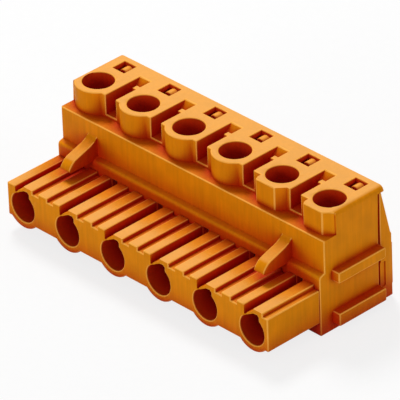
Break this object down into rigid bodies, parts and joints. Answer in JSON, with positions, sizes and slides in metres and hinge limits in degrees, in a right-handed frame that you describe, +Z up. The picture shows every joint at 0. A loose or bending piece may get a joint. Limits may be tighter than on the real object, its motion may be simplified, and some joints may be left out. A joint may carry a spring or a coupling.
{
  "type": "pluggable terminal block",
  "caption": "Orange pluggable screw terminal block in one row, 7.62 mm spacing, with a comb of round contact openings, coding ribs, screw towers and rear wire entries.",
  "frame": {"origin": "middle of the underside", "axes": "+X along the row of poles, -Y towards the mating face, +Y towards the wires, +Z up out of the screw holes"},
  "size_m": [0.0458, 0.02, 0.0154],
  "materials": {
    "housing_plastic": "satin",
    "tinned_copper": "satin",
    "cage_steel": "satin",
    "screw_steel": "satin"
  },
  "bodies": {
    "block": {"housing": "housing_plastic", "plug_comb": "housing_plastic", "wire_entry_cover": "housing_plastic", "contact_1": "tinned_copper", "contact_2": "tinned_copper", "contact_3": "tinned_copper", "contact_4": "tinned_copper", "contact_5": "tinned_copper", "contact_6": "tinned_copper"},
    "cage_body_1": {"clamping_cage_1": "cage_steel"},
    "screw_body_1": {"clamp_screw_1": "screw_steel"},
    "cage_body_2": {"clamping_cage_2": "cage_steel"},
    "screw_body_2": {"clamp_screw_2": "screw_steel"},
    "cage_body_3": {"clamping_cage_3": "cage_steel"},
    "screw_body_3": {"clamp_screw_3": "screw_steel"},
    "cage_body_4": {"clamping_cage_4": "cage_steel"},
    "screw_body_4": {"clamp_screw_4": "screw_steel"},
    "cage_body_5": {"clamping_cage_5": "cage_steel"},
    "screw_body_5": {"clamp_screw_5": "screw_steel"},
    "cage_body_6": {"clamping_cage_6": "cage_steel"},
    "screw_body_6": {"clamp_screw_6": "screw_steel"}
  },
  "joints": [
    {"name": "screw_turn_1", "type": "hinge", "parent": "block", "child": "screw_body_1", "pos_m": [-0.01905, 0.0028, 0.0118], "axis": [0, 0, -1], "range_deg": [0, 1728]},
    {"name": "cage_lift_1", "type": "slide", "parent": "block", "child": "cage_body_1", "axis": [0, 0, 1], "range_m": [0, 0.0024]},
    {"name": "screw_turn_2", "type": "hinge", "parent": "block", "child": "screw_body_2", "pos_m": [-0.01143, 0.0028, 0.0118], "axis": [0, 0, -1], "range_deg": [0, 1728]},
    {"name": "cage_lift_2", "type": "slide", "parent": "block", "child": "cage_body_2", "axis": [0, 0, 1], "range_m": [0, 0.0024]},
    {"name": "screw_turn_3", "type": "hinge", "parent": "block", "child": "screw_body_3", "pos_m": [-0.00381, 0.0028, 0.0118], "axis": [0, 0, -1], "range_deg": [0, 1728]},
    {"name": "cage_lift_3", "type": "slide", "parent": "block", "child": "cage_body_3", "axis": [0, 0, 1], "range_m": [0, 0.0024]},
    {"name": "screw_turn_4", "type": "hinge", "parent": "block", "child": "screw_body_4", "pos_m": [0.00381, 0.0028, 0.0118], "axis": [0, 0, -1], "range_deg": [0, 1728]},
    {"name": "cage_lift_4", "type": "slide", "parent": "block", "child": "cage_body_4", "axis": [0, 0, 1], "range_m": [0, 0.0024]},
    {"name": "screw_turn_5", "type": "hinge", "parent": "block", "child": "screw_body_5", "pos_m": [0.01143, 0.0028, 0.0118], "axis": [0, 0, -1], "range_deg": [0, 1728]},
    {"name": "cage_lift_5", "type": "slide", "parent": "block", "child": "cage_body_5", "axis": [0, 0, 1], "range_m": [0, 0.0024]},
    {"name": "screw_turn_6", "type": "hinge", "parent": "block", "child": "screw_body_6", "pos_m": [0.01905, 0.0028, 0.0118], "axis": [0, 0, -1], "range_deg": [0, 1728]},
    {"name": "cage_lift_6", "type": "slide", "parent": "block", "child": "cage_body_6", "axis": [0, 0, 1], "range_m": [0, 0.0024]}
  ],
  "couplings": [
    {"joint": "screw_turn_1", "follows": "cage_lift_1", "rad_per_m": 12566},
    {"joint": "screw_turn_2", "follows": "cage_lift_2", "rad_per_m": 12566},
    {"joint": "screw_turn_3", "follows": "cage_lift_3", "rad_per_m": 12566},
    {"joint": "screw_turn_4", "follows": "cage_lift_4", "rad_per_m": 12566},
    {"joint": "screw_turn_5", "follows": "cage_lift_5", "rad_per_m": 12566},
    {"joint": "screw_turn_6", "follows": "cage_lift_6", "rad_per_m": 12566}
  ]
}
